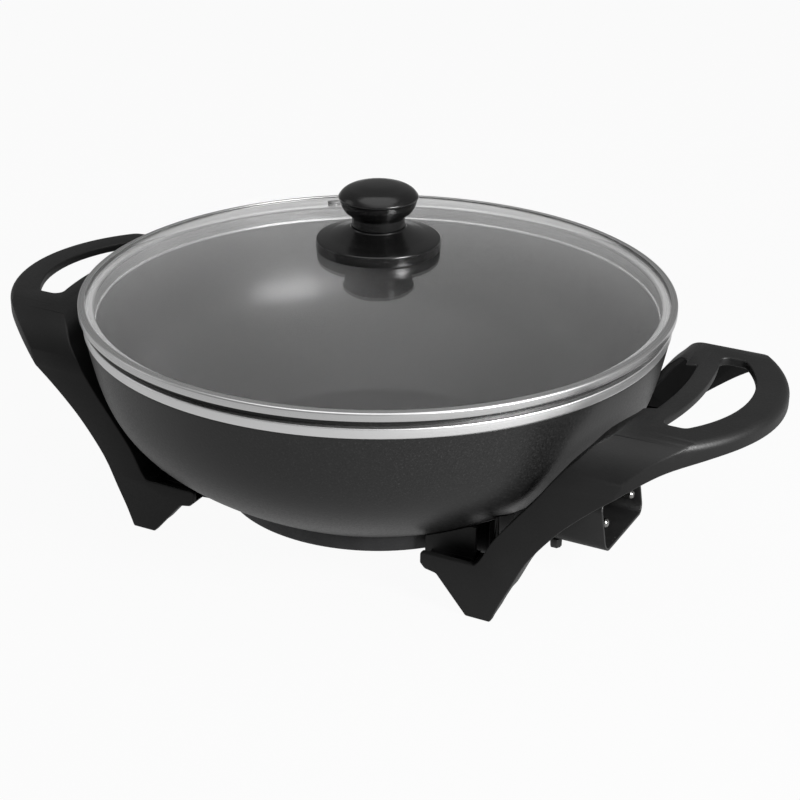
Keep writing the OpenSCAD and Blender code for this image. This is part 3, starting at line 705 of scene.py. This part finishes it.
# Node, name of its copy, edge rounding in millimetres, material, body and slot
COPIES = [
    ("heating_base", "base_casting", 0.7, cast_base, "base", "cast_base"),
    ("socket_guard", "guard_sheet", 0.35, guard_black, "base", "guard_black"),
    ("guard_screws", "guard_screw_pair", 0.25, black_steel, "base", "screw_steel"),
    ("terminal_pin_front", "front_pin", 0.3, pin_metal, "base", "pin_metal"),
    ("terminal_pin_rear", "rear_pin", 0.3, pin_metal, "base", "pin_metal"),
    ("terminal_bush_front", "front_bush", 0.4, bush_white, "base", "bush_white"),
    ("terminal_bush_rear", "rear_bush", 0.4, bush_white, "base", "bush_white"),
    ("sensor_sleeve", "sensor_tube", 0.2, tube_steel, "base", "tube_steel"),
    ("right_screws", "right_mounting_screws", 0.25, screw_steel, "base", "screw_steel"),
    ("left_screws", "left_mounting_screws", 0.25, screw_steel, "base", "screw_steel"),
    ("right_washers", "right_mounting_washers", 0.15, screw_steel, "base", "screw_steel"),
    ("left_washers", "left_mounting_washers", 0.15, screw_steel, "base", "screw_steel"),
    ("vent_grommet", "vent_eyelet", 0.25, vent_rubber, "lid", "seal_rubber"),
    ("knob_screw", "knob_fixing_screw", 0.25, screw_steel, "lid", "screw_steel"),
    ("knob_washer", "knob_fixing_washer", 0.2, screw_steel, "lid", "screw_steel"),
]
for node, name, edge, material, body, slot in COPIES:
    dress(rounded_copy(node, name, edge), material, body, node)

# Nodes that show as they are
KEPT = {
    "heating_element": tube_steel,
    "lid_gasket": seal_rubber,
    "knob_gasket": seal_rubber,
    "knob_insert": insert_brass,
}
for node, material in KEPT.items():
    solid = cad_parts[node]
    solid.data.materials.clear()
    solid.data.materials.append(material)


# ---- Studio --------------------------------------------------------------------------------

# The floor's own tone, and how white it looks to the eye and in a reflection
FLOOR_TONE, FLOOR_SEEN, FLOOR_MIRRORED = 0.22, 0.95, 0.48
# Light from the room at the horizon, above it and overhead
ROOM_STOPS, ROOM_STRENGTH = [(0.0, 0.35), (0.3, 0.42), (0.8, 0.5)], 0.6
CAMERA_PLACE, CAMERA_AIM = (0.4824, -0.9049, 0.5432), (0.01166, 0.00621, 0.07275)
CAMERA_ROLL, CAMERA_LENS = 0.412, 84.0
# Name, place, aim, width and height in metres, and watts
LAMPS = [
    ("overhead_softbox", (0.1, -0.2, 1.5), (0, 0, 0.1), 1.9, 1.6, 12.0),
    ("left_softbox", (-1.3, -0.5, 0.7), (0, 0, 0.1), 0.8, 0.8, 1.5),
    ("right_softbox", (1.1, -0.35, 0.68), (-0.1, 0.08, 0.09), 0.44, 0.44, 33.0),
]


def make_floor():
    """Pale paper that keeps the shadow, and looks white to the camera and through the glass."""
    nothing_selected()
    bpy.ops.mesh.primitive_plane_add(size=14, location=(0, 0, -0.0002))
    floor = bpy.context.object
    floor.name = "studio_floor"
    made, tree = empty_material("white_studio_floor")
    paper = add_node(tree, "ShaderNodeBsdfDiffuse", Color=grey(FLOOR_TONE))
    glow = add_node(tree, "ShaderNodeEmission", Color=grey(1.0), Strength=1.0)
    path = add_node(tree, "ShaderNodeLightPath")
    either = add_node(
        tree,
        "ShaderNodeMath",
        {"operation": "MAXIMUM"},
        i0=path.outputs["Is Camera Ray"],
        i1=path.outputs["Is Transmission Ray"],
    )
    glossy = add_node(
        tree,
        "ShaderNodeMath",
        {"operation": "MULTIPLY"},
        i0=path.outputs["Is Glossy Ray"],
        i1=FLOOR_MIRRORED,
    )
    both = add_node(
        tree,
        "ShaderNodeMath",
        {"operation": "MAXIMUM"},
        i0=either.outputs["Value"],
        i1=glossy.outputs["Value"],
    )
    share = add_node(
        tree,
        "ShaderNodeMath",
        {"operation": "MULTIPLY"},
        i0=both.outputs["Value"],
        i1=FLOOR_SEEN,
    )
    mix = add_node(
        tree,
        "ShaderNodeMixShader",
        i0=share.outputs["Value"],
        i1=paper.outputs["BSDF"],
        i2=glow.outputs["Emission"],
    )
    finish_material(tree, mix.outputs["Shader"])
    floor.data.materials.append(made)


def make_world():
    """A soft room for light and reflections, white to the camera and through the glass."""
    world = bpy.data.worlds.new("studio")
    bpy.context.scene.world = world
    world.use_nodes = True
    tree = world.node_tree
    tree.nodes.clear()
    path = add_node(tree, "ShaderNodeLightPath")
    way = add_node(tree, "ShaderNodeTexCoord").outputs["Generated"]
    up = add_node(tree, "ShaderNodeSeparateXYZ", Vector=way).outputs["Z"]
    room = ramp(tree, up, [(height, grey(level)) for height, level in ROOM_STOPS])
    soft = add_node(tree, "ShaderNodeBackground", Color=room, Strength=ROOM_STRENGTH)
    white = add_node(tree, "ShaderNodeBackground", Color=grey(1.0), Strength=1.0)
    seen = add_node(
        tree,
        "ShaderNodeMath",
        {"operation": "MAXIMUM"},
        i0=path.outputs["Is Camera Ray"],
        i1=path.outputs["Is Transmission Ray"],
    )
    mix = add_node(
        tree,
        "ShaderNodeMixShader",
        i0=seen.outputs["Value"],
        i1=soft.outputs["Background"],
        i2=white.outputs["Background"],
    )
    out = add_node(tree, "ShaderNodeOutputWorld")
    tree.links.new(mix.outputs["Shader"], out.inputs["Surface"])


def add_softbox(name, place, aim, width, height, watts):
    nothing_selected()
    bpy.ops.object.light_add(type="AREA", location=place)
    lamp = bpy.context.object
    lamp.name = name
    lamp.data.shape = "ELLIPSE"
    lamp.data.size, lamp.data.size_y = width, height
    lamp.data.energy = watts
    lamp.rotation_euler = (Vector(aim) - Vector(place)).to_track_quat("-Z", "Y").to_euler()


def add_camera():
    """The photograph's view, with its slight roll."""
    place = Vector(CAMERA_PLACE)
    ahead = (Vector(CAMERA_AIM) - place).normalized()
    level = ahead.cross(Vector((0, 0, 1))).normalized()
    roll = math.radians(CAMERA_ROLL)
    upward = level.cross(ahead)
    right = level * math.cos(roll) + upward * math.sin(roll)
    top = right.cross(ahead)
    nothing_selected()
    bpy.ops.object.camera_add()
    camera = bpy.context.object
    camera.name = "product_camera"
    camera.data.lens = CAMERA_LENS
    camera.data.sensor_width = 36.0
    camera.data.clip_start = 0.05
    turn = Matrix((right, top, -ahead)).transposed().to_4x4()
    camera.matrix_world = Matrix.Translation(place) @ turn
    bpy.context.scene.camera = camera


make_floor()
make_world()
for lamp in LAMPS:
    add_softbox(*lamp)
add_camera()
bpy.context.scene.view_settings.view_transform = "Standard"
